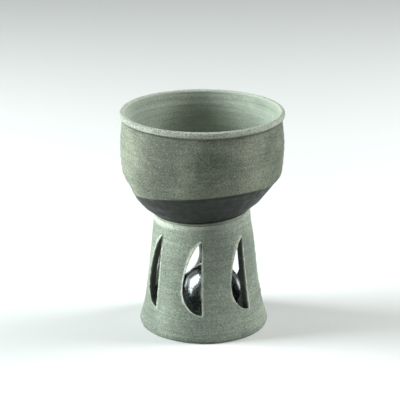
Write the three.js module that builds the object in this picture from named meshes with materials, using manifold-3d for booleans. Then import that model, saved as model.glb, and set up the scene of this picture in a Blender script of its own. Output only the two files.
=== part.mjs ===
// A stoneware rattle cup: a thrown bowl luted on a hollow, slotted foot that holds a loose ball.
// Millimetres, +Z up, origin at the centre of the standing ring. -Y is the side that faces the viewer.
import * as THREE from "three";
import { mergeVertices } from "three/addons/utils/BufferGeometryUtils.js";
import Module from "manifold-3d";

const wasm = await Module();
wasm.setup();

// Hollow foot
const BASE_RADIUS = 33.4;
const BASE_EDGE_HEIGHT = 3;
const BASE_BEVEL = 1.2;
const ANKLE_RADIUS = 30.6;
const ANKLE_HEIGHT = 14;
const CALF_RADIUS = 27.7;
const CALF_HEIGHT = 36;
const WAIST_RADIUS = 24.9;
const FOOT_WALL = 3.5;
const FOOT_HEIGHT = 61.5;

// The underside of the bowl was turned on a leaning axis, so the seam and the trimmed cone lean with it.
const TURNING_LEAN = THREE.MathUtils.degToRad(3.3);
const SEAM_THICKNESS = 0.9;
const SEAM_PROUD = 0.5;

// Bowl: belly, neck and lip, measured up from the seam
const BOWL_HEIGHT = 54.5;
const CONE_RADIUS = 36.1;
const CONE_RISE = 12.5;
const SHOULDER_RADIUS = 40.7;
const SHOULDER_RISE = 21.5;
const BELLY_RADIUS = 42.2;
const BELLY_RISE = 35.5;
const NECK_RADIUS = 41.7;
const NECK_RISE = 46;
const LIP_RADIUS = 42.5;
const LIP_THICKNESS = 3;
const BOWL_WALL = 4;
const BOWL_FLOOR = 6.5;
const TRIM_DEPTH = 1.2;
const TRIM_SLOPE = 0.75;
const CONE_BULGE = 0.6;

// Blade-shaped slots
const SLOT_COUNT = 7;
const SLOT_BOTTOM = 14.3;
const SLOT_TOP = 53.2;
const SLOT_WIDTH = 9.8;
const SLOT_WIDEST_HEIGHT = 27;
const SLOT_EDGE_OFFSET = 0.7;

// Closing slab, its luting coil and the loose ball
const FLOOR_HEIGHT = 4.5;
const SLAB_THICKNESS = 2.8;
const COIL_WIDTH = 2.2;
const COIL_HEIGHT = 1.1;
const BALL_RADIUS = 15;
const BALL_REST_X = 5.3;
const BALL_REST_Y = -6;

const CLEARANCE = 0.2;
const TURNS = 63;
const CURVE_STEPS = 8;
const FAR = 90;

/** A profile point: radius and height. */
const at = (radius, height) => new THREE.Vector2(radius, height);

/** Points along a smooth curve through the given profile points. */
const smooth = (points, steps) => new THREE.SplineCurve(points).getPoints(steps);

/** Points along a cubic curve between two profile points. */
const arc = (from, pullFrom, pullTo, to, steps) =>
  new THREE.CubicBezierCurve(from, pullFrom, pullTo, to).getPoints(steps);

/** The closed solid of a geometry, for joining and cutting. */
function solid(geometry) {
  const bare = geometry.clone();
  bare.deleteAttribute("normal");
  bare.deleteAttribute("uv");
  const merged = mergeVertices(bare, 1e-4);
  const corners = merged.index.array;
  const kept = [];
  for (let i = 0; i < corners.length; i += 3) {
    const [a, b, c] = [corners[i], corners[i + 1], corners[i + 2]];
    if (a !== b && b !== c && a !== c) kept.push(a, b, c);
  }
  return new wasm.Manifold(
    new wasm.Mesh({
      numProp: 3,
      vertProperties: merged.attributes.position.array,
      triVerts: new Uint32Array(kept),
    }),
  );
}

/** A profile turned about Z; it starts and ends on the axis or closes on itself, and runs up on the outside. */
function turned(points, segments = TURNS) {
  return new THREE.LatheGeometry(points, segments).rotateX(Math.PI / 2);
}

/** A named mesh from a solid or a geometry. */
function piece(name, shape, finish) {
  let geometry = shape;
  if (!shape.isBufferGeometry) {
    const made = shape.getMesh();
    geometry = new THREE.BufferGeometry();
    geometry.setAttribute("position", new THREE.BufferAttribute(made.vertProperties, 3));
    geometry.setIndex(new THREE.BufferAttribute(made.triVerts, 1));
    geometry.computeVertexNormals();
  }
  const mesh = new THREE.Mesh(geometry, finish);
  mesh.name = name;
  return mesh;
}

/** The outside of the foot from the standing ring up to a height over the leaning seam. */
function footOutside() {
  const top = FOOT_HEIGHT + WAIST_RADIUS * Math.tan(TURNING_LEAN) + 1;
  return [
    at(BASE_RADIUS - BASE_BEVEL, 0),
    ...smooth(
      [
        at(BASE_RADIUS, BASE_BEVEL),
        at(BASE_RADIUS, BASE_EDGE_HEIGHT),
        at(ANKLE_RADIUS, ANKLE_HEIGHT),
        at(CALF_RADIUS, CALF_HEIGHT),
        at(WAIST_RADIUS, FOOT_HEIGHT),
        at(WAIST_RADIUS, top),
      ],
      2 * CURVE_STEPS,
    ),
  ];
}

/** Radius of the foot's inner wall at a height. */
function footInside(height) {
  const outside = footOutside();
  const above = outside.findIndex((p) => p.y > height);
  const [low, high] = [outside[above - 1], outside[above]];
  const share = (height - low.y) / (high.y - low.y);
  return low.x + share * (high.x - low.x) - FOOT_WALL;
}

/** Moves a shape from the leaning seam's own frame, whose origin is the seam's centre, into the cup's. */
function leaned(geometry) {
  return geometry.rotateY(-TURNING_LEAN).translate(0, 0, FOOT_HEIGHT);
}

/** One blade-shaped slot: a straight edge on the right, a full curve on the left, a point on top. */
function slotOutline() {
  const edge = -SLOT_EDGE_OFFSET;
  const full = edge - SLOT_WIDTH;
  const rise = SLOT_TOP - SLOT_WIDEST_HEIGHT;
  const drop = SLOT_WIDEST_HEIGHT - SLOT_BOTTOM;
  const outline = new THREE.Shape();
  outline.moveTo(0, SLOT_TOP);
  outline.bezierCurveTo(
    edge - 0.29 * SLOT_WIDTH, SLOT_TOP - 0.06 * rise,
    full + 0.06 * SLOT_WIDTH, SLOT_WIDEST_HEIGHT + 0.45 * rise,
    full, SLOT_WIDEST_HEIGHT,
  );
  outline.bezierCurveTo(
    full, SLOT_WIDEST_HEIGHT - 0.55 * drop,
    full + 0.45 * SLOT_WIDTH, SLOT_BOTTOM,
    edge, SLOT_BOTTOM,
  );
  outline.closePath();
  return outline;
}

/** The cutter of one slot, standing at an angle round the foot. */
function slotCutter(angle) {
  const cutter = new THREE.ExtrudeGeometry(slotOutline(), {
    depth: FAR,
    bevelEnabled: false,
    curveSegments: 7,
  });
  return solid(cutter.rotateX(Math.PI / 2).rotateZ(angle));
}

const clay = new THREE.MeshStandardMaterial({ color: 0x6f7b6d, roughness: 0.8, metalness: 0 });
const slip = new THREE.MeshStandardMaterial({ color: 0xa3ab98, roughness: 0.85, metalness: 0 });
const steel = new THREE.MeshStandardMaterial({ color: 0x9aa4a8, roughness: 0.15, metalness: 1 });

/** The slotted foot, cut off at the top along the leaning seam. */
function makeFoot() {
  const outside = footOutside();
  const inside = outside.map((p) => at(p.x - FOOT_WALL, p.y)).reverse();
  inside[inside.length - 1].x = outside[1].x - FOOT_WALL;
  const profile = [...outside, ...inside, outside[0].clone()];
  const belowSeam = leaned(
    turned([at(0, -FAR), at(FAR, -FAR), at(FAR, 0), at(0, 0)], 24),
  );
  let foot = solid(turned(profile)).intersect(solid(belowSeam));
  for (let i = 0; i < SLOT_COUNT; i++) {
    foot = foot.subtract(slotCutter((i * 2 * Math.PI) / SLOT_COUNT));
  }
  return piece("foot", foot, clay);
}

/** The luting slip squeezed out between foot and bowl. */
function makeUpperLuting() {
  const inner = WAIST_RADIUS - FOOT_WALL;
  const outer = WAIST_RADIUS + SEAM_PROUD;
  const profile = [
    at(inner, CLEARANCE),
    at(outer - SEAM_PROUD, CLEARANCE),
    at(outer, CLEARANCE + SEAM_THICKNESS / 2),
    at(outer - SEAM_PROUD, CLEARANCE + SEAM_THICKNESS),
    at(inner, CLEARANCE + SEAM_THICKNESS),
    at(inner, CLEARANCE),
  ];
  return piece("upper_luting", leaned(turned(profile)), slip);
}

/** The thrown bowl, its underside cut back by the leaning turned cone. */
function makeBowl() {
  const seat = 2 * CLEARANCE + SEAM_THICKNESS;
  const top = FOOT_HEIGHT + BOWL_HEIGHT;
  const up = (radius, rise) => at(radius, FOOT_HEIGHT + rise);
  const lipDrop = LIP_THICKNESS / 2;
  const outside = [
    up(0, -2),
    up(WAIST_RADIUS - 2, -2),
    ...smooth(
      [
        up(WAIST_RADIUS + 2 * TRIM_DEPTH, -1),
        up(CONE_RADIUS + TRIM_DEPTH, CONE_RISE),
        up(SHOULDER_RADIUS + TRIM_DEPTH / 3, SHOULDER_RISE),
        up(BELLY_RADIUS, BELLY_RISE),
        up(NECK_RADIUS, NECK_RISE),
        at(LIP_RADIUS, top - lipDrop),
      ],
      2 * CURVE_STEPS,
    ),
  ];
  const lip = arc(
    at(LIP_RADIUS, top - lipDrop),
    at(LIP_RADIUS, top + lipDrop / 3),
    at(LIP_RADIUS - LIP_THICKNESS, top + lipDrop / 3),
    at(LIP_RADIUS - LIP_THICKNESS, top - lipDrop),
    8,
  ).slice(1, -1);
  const inside = smooth(
    [
      at(LIP_RADIUS - LIP_THICKNESS, top - lipDrop),
      up(NECK_RADIUS - BOWL_WALL + 0.5, NECK_RISE),
      up(BELLY_RADIUS - BOWL_WALL, BELLY_RISE),
      up(SHOULDER_RADIUS - BOWL_WALL, SHOULDER_RISE),
      up(0.55 * CONE_RADIUS, seat + BOWL_FLOOR + 1.5),
      up(0, seat + BOWL_FLOOR),
    ],
    2 * CURVE_STEPS,
  );
  inside[inside.length - 1].x = 0;
  const blank = solid(turned([...outside, ...lip, ...inside]));
  const coneMiddle = at(
    (WAIST_RADIUS + CONE_RADIUS) / 2 + CONE_BULGE,
    (seat + CONE_RISE) / 2 - CONE_BULGE,
  );
  const cone = leaned(
    turned([
      at(0, seat),
      ...smooth([at(WAIST_RADIUS, seat), coneMiddle, at(CONE_RADIUS, CONE_RISE)], CURVE_STEPS),
      at(CONE_RADIUS + TRIM_SLOPE * BOWL_HEIGHT, CONE_RISE + BOWL_HEIGHT),
      at(FAR, FAR),
      at(0, FAR),
    ]),
  );
  return piece("bowl", blank.intersect(solid(cone)), clay);
}

/** The slab that closes the foot from below. */
function makeSlab() {
  const bottom = FLOOR_HEIGHT - SLAB_THICKNESS;
  const profile = [
    at(0, bottom),
    at(footInside(bottom) - CLEARANCE, bottom),
    at(footInside(FLOOR_HEIGHT) - CLEARANCE, FLOOR_HEIGHT),
    at(0, FLOOR_HEIGHT),
  ];
  return piece("base_slab", turned(profile), clay);
}

/** The coil of soft clay pressed into the corner under the slab. */
function makeLowerLuting() {
  const top = FLOOR_HEIGHT - SLAB_THICKNESS - CLEARANCE;
  const wall = footInside(top) - CLEARANCE;
  const profile = [
    at(wall - COIL_WIDTH, top),
    at(wall - COIL_WIDTH / 3, top - COIL_HEIGHT),
    at(Math.min(wall, footInside(top - COIL_HEIGHT) - CLEARANCE), top - COIL_HEIGHT),
    at(wall, top),
    at(wall - COIL_WIDTH, top),
  ];
  return piece("lower_luting", turned(profile), slip);
}

/** The loose ball at rest on the slab. */
function makeBall() {
  const shape = new THREE.SphereGeometry(BALL_RADIUS, 28, 18).rotateX(Math.PI / 2);
  const ball = piece("rattle_ball", solid(shape), steel);
  ball.position.set(BALL_REST_X, BALL_REST_Y, FLOOR_HEIGHT + BALL_RADIUS + CLEARANCE / 4);
  return ball;
}

const cup = new THREE.Group();
cup.add(makeFoot(), makeUpperLuting(), makeBowl(), makeSlab(), makeLowerLuting(), makeBall());

export default cup;
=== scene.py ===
"""A stoneware rattle cup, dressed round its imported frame: thrown bowl, slotted foot and loose ball."""

import logging
import math
from dataclasses import dataclass, field
from typing import Any

import bmesh
import bpy
import numpy as np
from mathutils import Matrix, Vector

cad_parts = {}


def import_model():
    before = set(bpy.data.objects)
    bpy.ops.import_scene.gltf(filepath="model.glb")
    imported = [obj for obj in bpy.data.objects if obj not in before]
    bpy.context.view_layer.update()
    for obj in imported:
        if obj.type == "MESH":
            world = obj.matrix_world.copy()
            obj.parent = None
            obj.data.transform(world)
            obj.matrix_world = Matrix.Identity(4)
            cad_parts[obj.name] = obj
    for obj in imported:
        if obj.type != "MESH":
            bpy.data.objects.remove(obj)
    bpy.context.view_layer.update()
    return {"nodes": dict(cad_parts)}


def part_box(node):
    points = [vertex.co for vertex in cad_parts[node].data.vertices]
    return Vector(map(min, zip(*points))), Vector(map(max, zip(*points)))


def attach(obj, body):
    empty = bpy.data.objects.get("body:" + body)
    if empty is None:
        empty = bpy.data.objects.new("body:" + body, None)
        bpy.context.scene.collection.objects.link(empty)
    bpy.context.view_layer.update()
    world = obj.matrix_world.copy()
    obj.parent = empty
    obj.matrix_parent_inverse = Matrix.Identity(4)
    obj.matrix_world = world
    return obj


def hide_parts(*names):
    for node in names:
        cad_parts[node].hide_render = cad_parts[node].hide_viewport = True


LOG = logging.getLogger("rattle_cup")
MM = 0.001

# Points closer than this many metres are one point.
MERGE_DISTANCE = 2e-7

# The underside was turned on a leaning axis, so the seam and the turned cone are higher on the viewer's right.
TURNING_LEAN = math.radians(3.3)
SEAM_HEIGHT = 61.5

Colour = tuple[float, float, float]
Place = tuple[float, float, float]
Span = tuple[float, float]
Outline = list[tuple[float, float]]


def smooth_path(points: Outline, steps: int, span_steps: int = 40) -> np.ndarray:
    """A Catmull-Rom curve through (radius, height) points, evenly spaced along its length.

    Args:
        points: The points that the curve passes through, in millimetres.
        steps: How many points come back.
        span_steps: How many places between two points the curve's length is measured on.

    Returns:
        An array of shape (steps, 2).
    """
    p = np.array(points, float)
    p = np.vstack([2 * p[0] - p[1], p, 2 * p[-1] - p[-2]])
    t = np.linspace(0, 1, span_steps, endpoint=False)[:, None]
    spans = [
        0.5
        * (
            2 * p[i]
            + (p[i + 1] - p[i - 1]) * t
            + (2 * p[i - 1] - 5 * p[i] + 4 * p[i + 1] - p[i + 2]) * t**2
            + (3 * p[i] - p[i - 1] - 3 * p[i + 1] + p[i + 2]) * t**3
        )
        for i in range(1, len(p) - 2)
    ]
    return even_steps(np.vstack([*spans, p[-2]]), steps, True)


def even_steps(curve: np.ndarray, steps: int, with_end: bool) -> np.ndarray:
    """Points at even distances along a curve, each read off its running length.

    Args:
        curve: Points along the curve, of shape (any, 2).
        steps: How many points come back.
        with_end: Whether the last point is the curve's end, or one step before it.

    Returns:
        An array of shape (steps, 2).
    """
    along = np.concatenate([[0], np.cumsum(np.linalg.norm(np.diff(curve, axis=0), axis=1))])
    at = np.linspace(0, along[-1], steps, endpoint=with_end)
    return np.stack([np.interp(at, along, curve[:, k]) for k in range(2)], axis=1)


def ripple(angle: np.ndarray, height: np.ndarray, seed: int, scale: float, waves: int = 8) -> np.ndarray:
    """Uneven hand work: the mean of some waves that run round and up a pot at chosen rates.

    Args:
        angle: Angles round the axis, in radians.
        height: Heights, in millimetres.
        seed: Chooses the waves.
        scale: The usual length of a wave up the pot, in millimetres.
        waves: How many waves there are.

    Returns:
        Values between -1 and 1, of the shape of the inputs.
    """
    rng = np.random.default_rng(seed)
    total = np.zeros(np.broadcast(angle, height).shape)
    for _ in range(waves):
        turns = rng.integers(0, 5)
        pitch = scale * rng.uniform(0.6, 1.8)
        phase = rng.uniform(0, 2 * math.pi)
        total = total + np.sin(turns * angle + 2 * math.pi * height / pitch + phase)
    return total / waves


def step(value: np.ndarray, low: float, high: float) -> np.ndarray:
    """A smooth step from 0 at low to 1 at high."""
    t = np.clip((value - low) / (high - low), 0, 1)
    return t * t * (3 - 2 * t)


def swell(value: np.ndarray, middle: float, spread: float) -> np.ndarray:
    """A bell: 1 in the middle, falling as the exponential of the squared distance over the spread."""
    return np.exp(-(((value - middle) / spread) ** 2))


def set_share(mesh: bpy.types.Mesh, name: str, share: np.ndarray) -> None:
    """Keeps a share from 0 to 1 on each point of a mesh, for the finish to read."""
    layer = mesh.attributes.new(name, "FLOAT", "POINT")
    layer.data.foreach_set("value", np.clip(share, 0, 1).astype(np.float32))


def point_values(piece: bpy.types.Object) -> np.ndarray:
    """The points of a piece, in millimetres."""
    flat = np.empty(len(piece.data.vertices) * 3, np.float32)
    piece.data.vertices.foreach_get("co", flat)
    return flat.reshape(-1, 3) / MM


def grid_faces(rows: int, columns: int, closed: bool) -> np.ndarray:
    """Faces of a grid whose point (row, column) is number row * columns + column.

    Args:
        rows: How many rows of points the grid has.
        columns: How many points a row has.
        closed: Whether the last column joins the first.

    Returns:
        Four point numbers for each face.
    """
    row = np.arange(rows - 1)[:, None]
    column = np.arange(columns if closed else columns - 1)[None, :]
    after = (column + 1) % columns
    a = row * columns + column
    b = row * columns + after
    c = (row + 1) * columns + after
    d = (row + 1) * columns + column
    return np.stack([a, b, c, d], axis=-1).reshape(-1, 4)


def mesh_object(
    name: str, points: np.ndarray, polygons: list[list[int]], turned_and_shade: np.ndarray | None = None
) -> bpy.types.Object:
    """A smooth-shaded object whose doubles are merged.

    Args:
        name: The object's name.
        points: The points in millimetres, of shape (any, 3).
        polygons: The point numbers of each polygon.
        turned_and_shade: How much each point takes the dark turned colour, for turned clay and for painted shade, where
            that is known before the merge.

    Returns:
        The object, linked to the scene.
    """
    mesh = bpy.data.meshes.new(name)
    mesh.from_pydata((points * MM).tolist(), [], polygons)
    if turned_and_shade is not None:
        set_share(mesh, "turned_and_shade", turned_and_shade)
    work = bmesh.new()
    work.from_mesh(mesh)
    bmesh.ops.remove_doubles(work, verts=work.verts, dist=MERGE_DISTANCE)
    bmesh.ops.recalc_face_normals(work, faces=work.faces)
    work.to_mesh(mesh)
    work.free()
    mesh.shade_smooth()
    made = bpy.data.objects.new(name, mesh)
    bpy.context.scene.collection.objects.link(made)
    return made


@dataclass(frozen=True)
class NodeBoard:
    """Short ways to add and join the nodes of one material."""

    tree: Any

    def add(self, kind: str, **values: Any) -> Any:
        """A node of a kind, with its properties set."""
        node = self.tree.nodes.new(kind)
        for key, value in values.items():
            setattr(node, key, value)
        return node

    def join(self, source: Any, target: Any) -> None:
        """A link between two sockets."""
        self.tree.links.new(source, target)

    def share(self, name: str) -> Any:
        """The socket of a share that a mesh keeps on its points."""
        return self.add("ShaderNodeAttribute", attribute_name=name).outputs["Fac"]

    def noise(self, where: Any, scale: float, detail: float = 3, rough: float = 0.55) -> Any:
        """Noise at a socket's places, in waves per metre.

        Args:
            where: The socket of the places.
            scale: Waves per metre.
            detail: How many finer waves are added.
            rough: How strong the finer waves are.

        Returns:
            The factor socket.
        """
        node = self.add("ShaderNodeTexNoise")
        node.inputs["Scale"].default_value = scale
        node.inputs["Detail"].default_value = detail
        node.inputs["Roughness"].default_value = rough
        self.join(where, node.inputs["Vector"])
        return node.outputs["Fac"]

    def spread(self, value: Any, low: float, high: float, to_low: float = 0, to_high: float = 1) -> Any:
        """A socket's range low to high mapped smoothly to another range."""
        node = self.add("ShaderNodeMapRange", interpolation_type="SMOOTHSTEP")
        for key, number in zip(("From Min", "From Max", "To Min", "To Max"), (low, high, to_low, to_high)):
            node.inputs[key].default_value = number
        self.join(value, node.inputs["Value"])
        return node.outputs["Result"]

    def blend(self, share: Any, below: Any, above: Any) -> Any:
        """Two colours, each a socket or a value, mixed by a socket's share."""
        node = self.add("ShaderNodeMix", data_type="RGBA")
        self.join(share, node.inputs["Factor"])
        for key, colour in ((6, below), (7, above)):
            if isinstance(colour, tuple):
                node.inputs[key].default_value = (*colour, 1)
            else:
                self.join(colour, node.inputs[key])
        return node.outputs[2]

    def compute(self, kind: str, first: Any, second: Any) -> Any:
        """Two sockets or numbers put together by a Math node of a kind."""
        node = self.add("ShaderNodeMath", operation=kind)
        for key, value in ((0, first), (1, second)):
            if isinstance(value, (int, float)):
                node.inputs[key].default_value = value
            else:
                self.join(value, node.inputs[key])
        return node.outputs[0]

    def times(self, first: Any, second: Any) -> Any:
        """The product of two sockets or numbers."""
        return self.compute("MULTIPLY", first, second)

    def plus(self, first: Any, second: Any) -> Any:
        """The sum of two sockets or numbers."""
        return self.compute("ADD", first, second)

    def minus(self, first: Any, second: Any) -> Any:
        """The difference of two sockets or numbers."""
        return self.compute("SUBTRACT", first, second)

    def bump(self, height: Any, strength: float, depth: float, shader: Any) -> None:
        """A relief of a height socket on a shader, its depth in metres."""
        node = self.add("ShaderNodeBump")
        node.inputs["Strength"].default_value = strength
        node.inputs["Distance"].default_value = depth
        self.join(height, node.inputs["Height"])
        self.join(node.outputs["Normal"], shader.inputs["Normal"])


@dataclass(frozen=True)
class StonewareFinish:
    """Unglazed grey-green stoneware: sandy or smooth, with throwing lines, specks, and pits painted near-black as
    shade.

    One point attribute is 1 where the clay was turned smooth and dark, and also carries painted shade on the foot's cut
    faces and inside and under the lip; another is 1 where a painted highlight lies on lips and burrs, and also carries
    the pale slip smeared under the seam; "inner" is 1 inside the bowl, where the clay was wiped smooth. Scales are in
    waves per metre.
    """

    name: str
    pale: Colour
    deep: Colour
    # Near-black: the turned clay, and also painted shade on the foot's cut faces and inside and under the lip.
    turned_and_shade: Colour = (0.010, 0.0125, 0.0095)
    # Pale: a painted highlight on lips and burrs, and the pale slip smeared under the seam.
    highlight_and_slip: Colour = (0.50, 0.54, 0.45)
    wiped: Colour = (0.40, 0.46, 0.39)
    speck: Colour = (0.52, 0.54, 0.44)
    # Painted shade: the pits are made near-black.
    pit_shade: Colour = (0.012, 0.013, 0.012)
    sand: float = 1.0
    roughness: float = 0.62
    gloss: float = 0.36
    cloud_scale: float = 38
    line_scale: float = 620
    line_stretch: float = 0.06
    grain_scale: float = 1500
    highlight_breakup_scale: float = 1200
    speck_scale: float = 1300
    pit_scale: float = 700
    patch_scale: float = 240
    relief_scale: float = 1050
    relief_strength: float = 0.9
    relief_depth: float = 0.0007

    def material(self) -> bpy.types.Material:
        """The finish as a node material: a clouded, lined and grained clay, then its marks, then its relief."""
        material = bpy.data.materials.new(self.name)
        material.use_nodes = True
        board = NodeBoard(material.node_tree)
        shader = material.node_tree.nodes["Principled BSDF"]
        where = board.add("ShaderNodeTexCoord").outputs["Object"]
        turned_and_shade, highlight_and_slip, inner = (board.share(name) for name in ("turned_and_shade", "highlight_and_slip", "inner"))

        squeeze = board.add("ShaderNodeMapping")
        squeeze.inputs["Scale"].default_value = (self.line_stretch, self.line_stretch, 1)
        board.join(where, squeeze.inputs["Vector"])
        line = board.noise(squeeze.outputs["Vector"], self.line_scale, 3)
        colour = self.clay(board, where, line)
        colour = board.blend(board.times(inner, 0.5), colour, self.wiped)
        # The dark turned colour: real on the turned cone, painted shade in the foot and under the lip.
        colour = board.blend(turned_and_shade, colour, self.turned_and_shade)
        # Painted highlight on lips and burrs, broken up by noise, together with the pale slip under the seam.
        highlight_breakup = board.spread(board.noise(where, self.highlight_breakup_scale, 2), 0.25, 0.6)
        colour = board.blend(board.times(highlight_and_slip, highlight_breakup), colour, self.highlight_and_slip)

        unwiped = board.minus(1, board.times(inner, 0.8))
        sandy = board.times(board.times(board.minus(1, turned_and_shade), unwiped), self.sand)
        grit = board.noise(where, self.speck_scale, 1, 0.4)
        specks = board.times(board.spread(grit, 0.67, 0.74, 0, 0.55), sandy)
        colour = board.blend(specks, colour, self.speck)
        # Painted shade: near-black in the pits.
        holes = board.noise(where, self.pit_scale, 2, 0.6)
        pits = board.times(board.spread(holes, 0.315, 0.265), sandy)
        colour = board.blend(pits, colour, self.pit_shade)
        board.join(colour, shader.inputs["Base Color"])

        patches = board.noise(where, self.patch_scale, 3)
        rough = board.spread(patches, 0.3, 0.7, self.roughness - 0.1, self.roughness + 0.12)
        board.join(board.minus(rough, board.times(turned_and_shade, 0.08)), shader.inputs["Roughness"])
        shader.inputs["Specular IOR Level"].default_value = self.gloss

        relief = board.noise(where, self.relief_scale, 4, 0.75)
        relief = board.times(relief, board.plus(board.times(sandy, 1.7), 0.3))
        for mark, height in ((pits, -0.9), (specks, 0.5), (line, 0.7)):
            relief = board.plus(relief, board.times(mark, height))
        board.bump(relief, self.relief_strength, self.relief_depth, shader)
        return material

    def clay(self, board: NodeBoard, where: Any, line: Any) -> Any:
        """The plain clay's colour: pale and deep mixed in clouds, times the throwing lines, times the grain.

        Args:
            board: The material's nodes.
            where: The socket of the places.
            line: The socket of the throwing lines.

        Returns:
            The colour socket.
        """
        cloud = board.spread(board.noise(where, self.cloud_scale, 4), 0.36, 0.66)
        colour = board.blend(cloud, self.deep, self.pale)
        lined = board.spread(line, 0.3, 0.75, 0.87, 1.13)
        grain = board.spread(board.noise(where, self.grain_scale, 2, 0.7), 0.32, 0.68, 0.62, 1.38)
        tinted = board.add("ShaderNodeVectorMath", operation="SCALE")
        board.join(colour, tinted.inputs[0])
        board.join(board.times(lined, grain), tinted.inputs["Scale"])
        return tinted.outputs[0]


@dataclass(frozen=True)
class SteelFinish:
    """A polished steel ball, scuffed by the clay that it rolls on."""

    name: str = "polished_steel"
    bright: Colour = (0.86, 0.92, 0.95)
    dull: Colour = (0.76, 0.81, 0.83)
    smoothest: float = 0.24
    roughest: float = 0.36
    scuff_scale: float = 420
    scuff_strength: float = 0.05
    scuff_depth: float = 0.0002

    def material(self) -> bpy.types.Material:
        """The finish as a node material."""
        material = bpy.data.materials.new(self.name)
        material.use_nodes = True
        board = NodeBoard(material.node_tree)
        shader = material.node_tree.nodes["Principled BSDF"]
        where = board.add("ShaderNodeTexCoord").outputs["Object"]
        scuffs = board.spread(board.noise(where, self.scuff_scale, 5, 0.7), 0.4, 0.7)
        board.join(board.blend(scuffs, self.bright, self.dull), shader.inputs["Base Color"])
        board.join(board.spread(scuffs, 0, 1, self.smoothest, self.roughest), shader.inputs["Roughness"])
        shader.inputs["Metallic"].default_value = 1
        board.bump(scuffs, self.scuff_strength, self.scuff_depth, shader)
        return material


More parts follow.
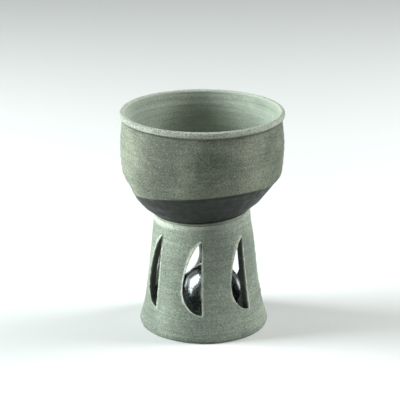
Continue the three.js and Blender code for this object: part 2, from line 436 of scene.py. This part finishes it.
@dataclass
class Bowl:
    """The thrown bowl: a sandy wall, a turned dark cone below it, and a rounded lip with a painted highlight on it and
    a painted shadow under it.

    Every rise is a height above the seam, in millimetres.
    """

    lip_radius: float = 42.5
    lip_thickness: float = 3
    lip_rise: float = 53
    seat_rise: float = 1.3
    waist_radius: float = 24.9
    cone_radius: float = 36.1
    cone_rise: float = 12.5
    cone_slope: float = 0.75
    cone_bulge: float = 0.6
    brink_rise: float = 13.6
    brink_swing: float = 7.4
    brink_turn: float = math.radians(31)
    brink_depth: float = 0.22
    brink_half: float = 0.25
    flat_depth: float = 1.3
    flat_rise: float = 15.5
    flat_spread: float = 4.5
    rim_drop: float = 0.3
    rim_tilt: float = 0.55
    tilt_rise: float = 20
    # The groove under the lip gets a painted shadow, a band of the dark turned colour.
    groove_rise: float = 50.7
    groove_spread: float = 0.7
    groove_shade: float = 0.55
    ring_depth: float = 0.07
    ring_pitch: float = 3.7
    hand_depth: float = 0.22
    hand_scale: float = 26
    hand_seed: int = 3
    floor_fade: float = 12
    # How strong the painted highlight on the lip is.
    lip_highlight: float = 0.9
    lip_depths: Span = (3.1, 2.2)
    lip_reach: Span = (39.3, 40.1)
    wiped_depths: Span = (1.2, 2.6)
    wiped_rises: Span = (4.5, 7.5)
    outer_rows: int = 150
    lip_rows: int = 18
    inner_rows: int = 110
    columns: int = 300
    outer_points: Outline = field(
        default_factory=lambda: [
            (27.3, -1), (37.3, 12.5), (41.1, 21.5), (42.2, 35.5), (41.6, 46), (41.2, 50.2), (42.3, 51.9), (42.5, 53),
        ]
    )
    inner_points: Outline = field(
        default_factory=lambda: [
            (39.5, 53), (38.2, 46), (38.2, 35.5), (36.7, 21.5), (19.9, 9.3), (0, 7.8),
        ]
    )

    def profile(self) -> np.ndarray:
        """The section from the underside, round the lip, to the middle of the floor inside.

        The two walls are smooth curves, and the lip is half a circle, its radius half the lip's thickness.
        """
        blank = smooth_path(self.outer_points, self.outer_rows)
        half = self.lip_thickness / 2
        turn = np.linspace(0, math.pi, self.lip_rows + 2)[1:-1]
        lip = np.stack(
            [self.lip_radius - half + half * np.cos(turn), self.lip_rise + half * np.sin(turn)], axis=1
        )
        inside = smooth_path(self.inner_points, self.inner_rows)
        inside[-1, 0] = 0
        return np.vstack([blank, lip, inside])

    def hand_work(
        self, angle: np.ndarray, rise: np.ndarray, outside: np.ndarray
    ) -> tuple[np.ndarray, np.ndarray]:
        """How far the thrower's hand left the wall from round: fine rings and slow waves, and a flat.

        The rings are a sine of the rise. The flat is a bell of the rise times the squared cosine of the angle from
        the viewer's left, on the outside only.

        Args:
            angle: Angles round the axis, in radians.
            rise: Rises above the seam.
            outside: Where the grid is the outside of the bowl.

        Returns:
            The rings and waves, and the flat, both in millimetres.
        """
        rings = self.ring_depth * np.sin(rise * 2 * math.pi / self.ring_pitch)
        rings = rings + self.hand_depth * ripple(angle, rise, self.hand_seed, self.hand_scale)
        kept = step(rise, 8, 16) * step(self.lip_rise + 2 - rise, 0, 5)
        hand = np.where(outside, rings * kept, 0.5 * rings)
        flat = swell(rise, self.flat_rise, self.flat_spread) * np.clip(-np.cos(angle), 0, 1) ** 2
        return hand, np.where(outside, self.flat_depth * flat, 0)

    def cone(self, level: np.ndarray) -> np.ndarray:
        """The turned cone's radius by the height along its own leaning axis, with a slight bulge below its top."""
        middle = (self.seat_rise + self.cone_rise) / 2 - self.cone_bulge
        beyond = self.lip_rise + 7
        return np.interp(
            level,
            [self.seat_rise, middle, self.cone_rise, beyond],
            [
                self.waist_radius,
                (self.waist_radius + self.cone_radius) / 2 + self.cone_bulge,
                self.cone_radius,
                self.cone_radius + self.cone_slope * (beyond - self.cone_rise),
            ],
        )

    def surface(self) -> tuple[np.ndarray, np.ndarray]:
        """The turned surface: radius by height and angle, the outside cut back to the leaning cone.

        Each outside radius is the smaller of the thrown wall's and the cone's at that place. The cone's axis leans,
        so its height there is the plain height less the lean times the distance to the right. The dark skin ends
        at a brink whose height is a cosine of the angle from the viewer's side. The rim tilts to the front, and
        the groove below the lip gets a painted shadow: a share of the dark turned colour that stands for the shade
        under the lip.

        Returns:
            The points, of shape (rows, columns, 3), and how much each takes the dark turned colour, the painted shadow
            under the lip included.
        """
        profile = self.profile()
        angle = np.linspace(0, 2 * math.pi, self.columns, endpoint=False)[None, :]
        radius = np.repeat(profile[:, :1], self.columns, axis=1)
        rise = np.repeat(profile[:, 1:], self.columns, axis=1)
        outside = np.arange(len(profile))[:, None] < len(profile) - self.inner_rows
        hand, flat = self.hand_work(angle, rise, outside)
        fade = step(radius, 0, self.floor_fade)
        radius = radius + hand * fade - flat
        lean = math.tan(TURNING_LEAN)
        level = rise - lean * radius * np.cos(angle)
        cone = self.cone(level)
        facing = np.arctan2(np.cos(angle), -np.sin(angle))
        brink = self.brink_rise + self.brink_swing * np.cos(facing - self.brink_turn)
        turned_and_shade = np.where(outside, step(brink - rise, -self.brink_half, self.brink_half), 0)
        radius = np.where(outside & (cone < radius), cone, radius) - self.brink_depth * turned_and_shade * fade
        low = outside & (level < self.seat_rise)
        rise = np.where(low, self.seat_rise + lean * radius * np.cos(angle), rise)
        tilt = (self.rim_drop + self.rim_tilt * np.sin(angle)) * step(rise, self.tilt_rise, self.lip_rise)
        points = np.stack(
            [radius * np.cos(angle), radius * np.sin(angle), SEAM_HEIGHT + rise - tilt], axis=-1
        )
        # Painted shadow under the lip: the groove takes a share of the dark turned colour.
        groove_shadow = self.groove_shade * swell(rise, self.groove_rise, self.groove_spread)
        return points, np.maximum(turned_and_shade, np.where(outside, groove_shadow, 0))

    def build(self, finish: StonewareFinish) -> bpy.types.Object:
        """The bowl's mesh with its finish, its first row closed by a fan round a middle point.

        Args:
            finish: The clay of the wall.

        Returns:
            The bowl, riding on the cup.
        """
        points, turned_and_shade = self.surface()
        centre = np.array([[0, 0, SEAM_HEIGHT + self.seat_rise]])
        every = np.vstack([points.reshape(-1, 3), centre])
        faces = grid_faces(len(points), self.columns, True)
        last = np.arange(self.columns)
        middle = np.full(self.columns, len(every) - 1)
        fan = np.stack([middle, (last + 1) % self.columns, last], axis=1)
        polygons = faces.tolist() + fan.tolist()
        bowl = mesh_object("bowl_thrown", every, polygons, np.append(turned_and_shade.reshape(-1), 1))
        self.mark(bowl)
        bowl.data.materials.append(finish.material())
        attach(bowl, "cup")
        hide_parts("bowl")
        LOG.info("bowl: %d points", len(bowl.data.vertices))
        return bowl

    def mark(self, bowl: bpy.types.Object) -> None:
        """Paints a highlight on the lip and marks the inside as wiped, by height and by the distance in from the outer
        wall.
        """
        where = point_values(bowl)
        reach = np.hypot(where[:, 0], where[:, 1])
        rim_height = SEAM_HEIGHT + self.lip_rise + self.lip_thickness / 2
        lip = step(where[:, 2] - rim_height, *(-depth for depth in self.lip_depths))
        # Painted highlight: the top and outside of the lip are made pale.
        set_share(bowl.data, "highlight_and_slip", self.lip_highlight * lip * step(reach, *self.lip_reach))
        wall = self.profile()[: self.outer_rows]
        rise = where[:, 2] - SEAM_HEIGHT
        depth = np.interp(rise, wall[:, 1], wall[:, 0]) - reach
        set_share(bowl.data, "inner", step(depth, *self.wiped_depths) * step(rise, *self.wiped_rises))


@dataclass
class Foot:
    """The flared hollow foot with its blade-shaped slots, each with a raised burr along its edge."""

    slots: int = 7
    wall: float = 3.5
    slot_bottom: float = 14.3
    slot_top: float = 53.2
    slot_width: float = 9.8
    widest: float = 27
    edge: float = -0.7
    edge_pulls: Span = (30, 44)
    slot_radius: float = 28.5
    burr: float = 0.5
    burr_least: float = 0.55
    burr_wave: float = 0.31
    burr_narrowness: float = 9
    # The painted highlight along each burr, by how far it stands proud of the wall.
    burr_highlight: Span = (0.05, 0.22)
    smear_turn: float = math.radians(65)
    smear_levels: Span = (-3.6, -1.4)
    smear_depths: Span = (-0.3, -0.1)
    # Painted shade: the slots' cut faces and the foot's inside take the dark turned colour.
    cut_shade: float = 0.75
    cut_depths: Span = (0.35, 0.7)
    cut_heights: Span = (3, 8)
    crowding: float = 0.7
    base_shift: float = 0.8
    bevel: float = 1.2
    bevel_turn: float = 0.35
    bevel_inset: float = 1.0
    around: int = 160
    across: int = 22
    cut_rows: int = 5
    corner_points: int = 14
    low: float = 9
    high: float = 57
    outer_points: Outline = field(
        default_factory=lambda: [
            (33.4, 1.2), (33.4, 3), (30.6, 14), (27.7, 36), (24.9, 61.5), (24.9, 64),
        ]
    )

    def outer(self, height: np.ndarray) -> np.ndarray:
        """Radius of the outside at a height, read off its smooth profile."""
        path = smooth_path(self.outer_points, 200)
        return np.interp(height, path[:, 1], path[:, 0])

    def outline(self) -> np.ndarray:
        """One slot's outline, (sideways, height) in millimetres, from its lower right corner round to it again.

        It is three cubic curves: a nearly straight right edge, a full left edge down to the widest place, and a
        rounded bottom.
        """
        full = self.edge - self.slot_width
        rise = self.slot_top - self.widest
        drop = self.widest - self.slot_bottom
        spans = [
            [(self.edge, self.slot_bottom), *((self.edge, pull) for pull in self.edge_pulls), (0, self.slot_top)],
            [
                (0, self.slot_top),
                (self.edge - 0.29 * self.slot_width, self.slot_top - 0.06 * rise),
                (full + 0.06 * self.slot_width, self.widest + 0.45 * rise),
                (full, self.widest),
            ],
            [
                (full, self.widest),
                (full, self.widest - 0.55 * drop),
                (full + 0.45 * self.slot_width, self.slot_bottom),
                (self.edge, self.slot_bottom),
            ],
        ]
        t = np.linspace(0, 1, 60, endpoint=False)[:, None]
        curve = []
        for span in spans:
            a, b, c, d = (np.array(p, float) for p in span)
            curve.append(a * (1 - t) ** 3 + 3 * b * t * (1 - t) ** 2 + 3 * c * t**2 * (1 - t) + d * t**3)
        return even_steps(np.vstack([*curve, curve[0][:1]]), self.around, False)

    def frame_points(self) -> np.ndarray:
        """The border of one slot's share of the wall, (angle, height), one point for each point of the outline.

        It is a rectangle whose four sides are evenly divided. The top side faces the slot's tip.
        """
        half = math.pi / self.slots
        middle = (self.edge - self.slot_width / 2) / self.slot_radius
        right, left = middle + half, middle - half
        tip = int(np.argmax(self.outline()[:, 1]))
        reach = self.corner_points
        corners = np.array([(right, self.low), (right, self.high), (left, self.high), (left, self.low)])
        starts = [0, tip - reach, tip + reach, self.around - 2 * reach, self.around]
        sides = []
        for k, corner in enumerate(corners):
            share = np.linspace(0, 1, starts[k + 1] - starts[k], endpoint=False)[:, None]
            sides.append(corner + share * (corners[(k + 1) % 4] - corner))
        return np.vstack(sides)

    def sector(self) -> np.ndarray:
        """The wall round one slot as rows of (angle, height, radius).

        Rows run from the border over the outside to the slot's edge, over a raised burr, through the cut face, and
        over the inside back to the border. Each row is the border and the outline mixed by the row's share. The
        burr is a bell of the distance to the edge, and its height waves along it as a squared sine.
        """
        outline = self.outline()
        border = self.frame_points()
        edge_radius = self.outer(outline[:, 1])
        wave = np.sin(np.arange(self.around) * self.burr_wave) ** 2
        ragged = self.burr * (self.burr_least + (1 - self.burr_least) * wave)
        shares = np.linspace(0, 1, self.across) ** self.crowding
        rows = [self.mixed(share, outline, border, 0, ragged) for share in shares]
        for depth in np.linspace(0, 1, self.cut_rows + 2)[1:-1]:
            radius = edge_radius - depth * self.wall
            rows.append(np.stack([np.arcsin(outline[:, 0] / radius), outline[:, 1], radius], axis=1))
        rows += [self.mixed(share, outline, border, self.wall, 0 * ragged) for share in shares[::-1]]
        return np.array(rows)

    def mixed(
        self, share: float, outline: np.ndarray, border: np.ndarray, depth: float, ragged: np.ndarray
    ) -> np.ndarray:
        """One row between the border, at share 0, and the outline, at share 1.

        Args:
            share: The row's share of the outline.
            outline: The slot's outline, (sideways, height).
            border: The border, (angle, height).
            depth: How far the row lies below the outside.
            ragged: The burr's height at each point of the outline.

        Returns:
            The row, (angle, height, radius).
        """
        height = border[:, 1] + share * (outline[:, 1] - border[:, 1])
        edge_angle = np.arcsin(outline[:, 0] / (self.outer(outline[:, 1]) - depth))
        angle = border[:, 0] + share * (edge_angle - border[:, 0])
        near = np.exp(-(((1 - share) * self.burr_narrowness) ** 2))
        return np.stack([angle, height, self.outer(height) - depth + ragged * near], axis=1)

    def ring(self, angles: np.ndarray, heights: np.ndarray) -> np.ndarray:
        """A closed band of wall above or below the slots, as rows of (angle, height, radius) from outside to inside."""
        return np.array(
            [
                np.stack([angles, np.full_like(angles, h), np.full_like(angles, self.outer(h) - depth)], 1)
                for depth, order in ((0, heights), (self.wall, heights[::-1]))
                for h in order
            ]
        )

    def top_ring(self, angles: np.ndarray) -> np.ndarray:
        """The band above the slots, its heights stretched up to the leaning seam."""
        rows = self.ring(angles, np.linspace(self.high, SEAM_HEIGHT, 10))
        side = rows[..., 2] * np.sin(rows[..., 0])
        share = (rows[..., 1] - self.high) / (SEAM_HEIGHT - self.high)
        rows[..., 1] = rows[..., 1] + share * math.tan(TURNING_LEAN) * side
        return rows

    def bottom_ring(self, angles: np.ndarray) -> np.ndarray:
        """The band below the slots, its lowest edge bevelled outside and a little inside."""
        heights = np.concatenate([np.linspace(self.low, self.bevel, 14), [self.bevel_turn, 0.0]])
        rows = self.ring(angles, heights)
        inset = np.interp(
            rows[..., 1], [0, self.bevel_turn, self.bevel], [self.bevel_inset, self.bevel_turn, 0]
        )
        outside = np.arange(len(rows))[:, None] < len(heights)
        rows[..., 2] -= np.where(outside, inset, -0.2 * inset)
        return rows

    def build(self, finish: StonewareFinish) -> bpy.types.Object:
        """The foot's mesh with its finish: the sectors round the slots, and a ring above and below them.

        Args:
            finish: The clay of the foot.

        Returns:
            The foot, riding on the cup.
        """
        sector = self.sector()
        border = self.frame_points()
        turns = 2 * math.pi / self.slots * np.arange(self.slots)
        sheets = [sector + np.array([turn, 0, 0]) for turn in turns]
        for height, ring in ((self.high, self.top_ring), (self.low, self.bottom_ring)):
            side = border[np.isclose(border[:, 1], height)][:, 0]
            angles = np.sort(np.concatenate([side + turn for turn in turns]))
            sheets.append(ring(angles[np.concatenate([[True], np.diff(angles) > 1e-6])]))
        points, faces, shift = [], [], 0
        for rows in sheets:
            angle, height, radius = rows[..., 0], rows[..., 1], rows[..., 2]
            aside = self.base_shift * np.clip(1 - height / SEAM_HEIGHT, 0, 1)
            place = np.stack([radius * np.sin(angle) + aside, -radius * np.cos(angle), height], axis=-1)
            points.append(place.reshape(-1, 3))
            faces.append(grid_faces(*rows.shape[:2], True) + shift)
            shift += len(points[-1])
        foot = mesh_object("foot_slotted", np.vstack(points), np.vstack(faces).tolist())
        self.mark(foot)
        foot.data.materials.append(finish.material())
        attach(foot, "cup")
        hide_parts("foot")
        LOG.info("foot: %d points", len(foot.data.vertices))
        return foot

    def mark(self, foot: bpy.types.Object) -> None:
        """Paints a highlight on the burrs, marks the slip smeared under the seam as pale, and paints shade on the cut
        faces and the inside with the dark turned colour.

        The smear is a squared cosine of the angle from the viewer's left front.
        """
        where = point_values(foot)
        side = where[:, 0] - self.base_shift * np.clip(1 - where[:, 2] / SEAM_HEIGHT, 0, 1)
        proud = np.hypot(side, where[:, 1]) - self.outer(where[:, 2])
        level = where[:, 2] - math.tan(TURNING_LEAN) * side - SEAM_HEIGHT
        facing = np.arctan2(side, -where[:, 1])
        smear = (0.5 + 0.5 * np.cos(facing + self.smear_turn)) ** 2
        slip = smear * step(level, *self.smear_levels) * step(proud, *self.smear_depths)
        # Painted highlight on the burrs, kept together with the pale slip smeared under the seam.
        set_share(foot.data, "highlight_and_slip", np.maximum(step(proud, *self.burr_highlight), slip))
        # Painted shade on the cut faces and the inside.
        cut_painted_shade = step(-proud, *self.cut_depths) * step(where[:, 2], *self.cut_heights)
        set_share(foot.data, "turned_and_shade", self.cut_shade * cut_painted_shade)


@dataclass
class RattleBall:
    """The loose ball at rest on the slab, made a little finer than its solid."""

    rows: int = 64
    columns: int = 128

    def build(self, finish: SteelFinish) -> bpy.types.Object:
        """A sphere: its radius times the sine and cosine of latitude and longitude, in the solid's own box.

        Args:
            finish: The ball's metal.

        Returns:
            The ball, riding on its own body.
        """
        low, high = (np.array(corner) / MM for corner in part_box("rattle_ball"))
        centre = (low + high) / 2
        radius = float((high - low).max() / 2)
        up = np.linspace(0, math.pi, self.rows)[:, None]
        turn = np.linspace(0, 2 * math.pi, self.columns, endpoint=False)[None, :]
        points = centre + radius * np.stack(
            [np.sin(up) * np.cos(turn), np.sin(up) * np.sin(turn), np.cos(up) + 0 * turn], axis=-1
        )
        faces = grid_faces(self.rows, self.columns, True)
        ball = mesh_object("ball_polished", points.reshape(-1, 3), faces.tolist())
        ball.data.materials.append(finish.material())
        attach(ball, "ball")
        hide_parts("rattle_ball")
        LOG.info("ball: %d points", len(ball.data.vertices))
        return ball


@dataclass
class Studio:
    """The plain pale floor, the soft lights and the camera. Sizes are in millimetres, lights' places in metres."""

    camera_distance: float = 950
    camera_height: float = 395.2
    camera_pitch: float = math.radians(19.06)
    focal_pixels: float = 1933.4
    axis_pixel: float = 201.7
    image_pixels: float = 400
    sensor: float = 36
    floor_half_width: float = 1500
    floor_front: float = -2500
    floor_bend: float = 900
    bend_radius: float = 600
    backdrop_top: float = 2200
    floor_colour: Colour = (0.68, 0.68, 0.67)
    sky_colour: Colour = (0.97, 0.98, 1)
    sky_strength: float = 0.12
    light_size: float = 0.4
    aim_height: float = 0.06

    def camera(self) -> None:
        """The camera at the photograph's place, looking down a little, its shift the axis's few pixels off centre."""
        data = bpy.data.cameras.new("camera")
        data.sensor_width = self.sensor
        data.lens = self.focal_pixels * self.sensor / self.image_pixels
        data.shift_x = -(self.axis_pixel + 0.5 - self.image_pixels / 2) / self.image_pixels
        data.clip_end = 20
        camera = bpy.data.objects.new("camera", data)
        camera.location = (0, -self.camera_distance * MM, self.camera_height * MM)
        camera.rotation_euler = (math.pi / 2 - self.camera_pitch, 0, 0)
        bpy.context.scene.collection.objects.link(camera)
        bpy.context.scene.camera = camera

    def floor(self) -> None:
        """A pale floor that bends up as a quarter circle far behind the cup."""
        along = np.linspace(-self.floor_half_width, self.floor_half_width, 41)
        bend = np.linspace(0.1, math.pi / 2, 12)
        flat = np.linspace(self.floor_front, self.floor_bend, 30)
        wall = self.floor_bend + self.bend_radius
        back = np.concatenate([flat, self.floor_bend + self.bend_radius * np.sin(bend), [wall]])
        rise = np.concatenate([0 * flat, self.bend_radius * (1 - np.cos(bend)), [self.backdrop_top]])
        points = np.stack(np.broadcast_arrays(along[None, :], back[:, None], rise[:, None]), axis=-1)
        faces = grid_faces(len(back), len(along), False)
        floor = mesh_object("floor", points.reshape(-1, 3), faces.tolist())
        material = bpy.data.materials.new("pale_floor")
        material.use_nodes = True
        shader = material.node_tree.nodes["Principled BSDF"]
        shader.inputs["Base Color"].default_value = (*self.floor_colour, 1)
        shader.inputs["Roughness"].default_value = 0.7
        floor.data.materials.append(material)

    def light(self, name: str, place: Place, power: float, size: float, colour: Colour) -> None:
        """A square soft light that faces the cup's middle.

        Args:
            name: The light's name.
            place: Where it stands, in metres.
            power: Its power, in watts.
            size: The length of its sides, in metres.
            colour: Its colour.
        """
        data = bpy.data.lights.new(name, "AREA")
        data.energy = power
        data.size = size
        data.color = colour
        lamp = bpy.data.objects.new(name, data)
        lamp.location = place
        aim = np.array(place) - np.array([0, 0, self.aim_height])
        yaw = math.atan2(aim[1], aim[0])
        lean = math.atan2(math.hypot(aim[0], aim[1]), aim[2])
        lamp.rotation_euler = (0, lean, yaw)
        bpy.context.scene.collection.objects.link(lamp)

    def build(self) -> None:
        """Camera, floor, a strong light from the left, a weaker one from the right, a dim front and a dim sky."""
        self.camera()
        self.floor()
        self.light("key", (-0.8, 0.02, 0.42), 16.5, self.light_size, (0.92, 1, 1))
        self.light("side", (0.78, 0.16, 0.56), 11, self.light_size, (0.96, 1, 0.99))
        self.light("front", (-0.25, -0.85, 0.7), 0.8, 0.5, (1, 0.98, 0.92))
        world = bpy.data.worlds.new("studio")
        world.use_nodes = True
        sky = world.node_tree.nodes["Background"]
        sky.inputs["Color"].default_value = (*self.sky_colour, 1)
        sky.inputs["Strength"].default_value = self.sky_strength
        bpy.context.scene.world = world
        bpy.context.scene.view_settings.view_transform = "Standard"


def dress_node(node: bpy.types.Object, material: bpy.types.Material) -> None:
    """A carried-over solid gets a finish."""
    node.data.materials.clear()
    node.data.materials.append(material)


def main() -> None:
    """Builds the studio, the bowl, the foot, the ball and the finishes of the carried-over solids."""
    logging.basicConfig(level=logging.INFO, format="%(name)s %(message)s")
    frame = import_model()
    Studio().build()
    wall = StonewareFinish("sandy_stoneware", (0.25, 0.275, 0.205), (0.12, 0.137, 0.10))
    stem = StonewareFinish("smooth_stoneware", (0.25, 0.29, 0.23), (0.16, 0.19, 0.15), sand=0.3, roughness=0.58)
    seam = StonewareFinish("pale_slip", (0.42, 0.46, 0.37), (0.26, 0.30, 0.24), sand=0.5, roughness=0.7)
    floor = StonewareFinish("raw_clay", (0.12, 0.14, 0.11), (0.07, 0.085, 0.07), sand=0.8, roughness=0.75)
    Bowl().build(wall)
    Foot().build(stem)
    RattleBall().build(SteelFinish())
    slip = seam.material()
    dress_node(frame["nodes"]["upper_luting"], slip)
    dress_node(frame["nodes"]["lower_luting"], slip)
    dress_node(frame["nodes"]["base_slab"], floor.material())


if __name__ == "__main__":
    main()
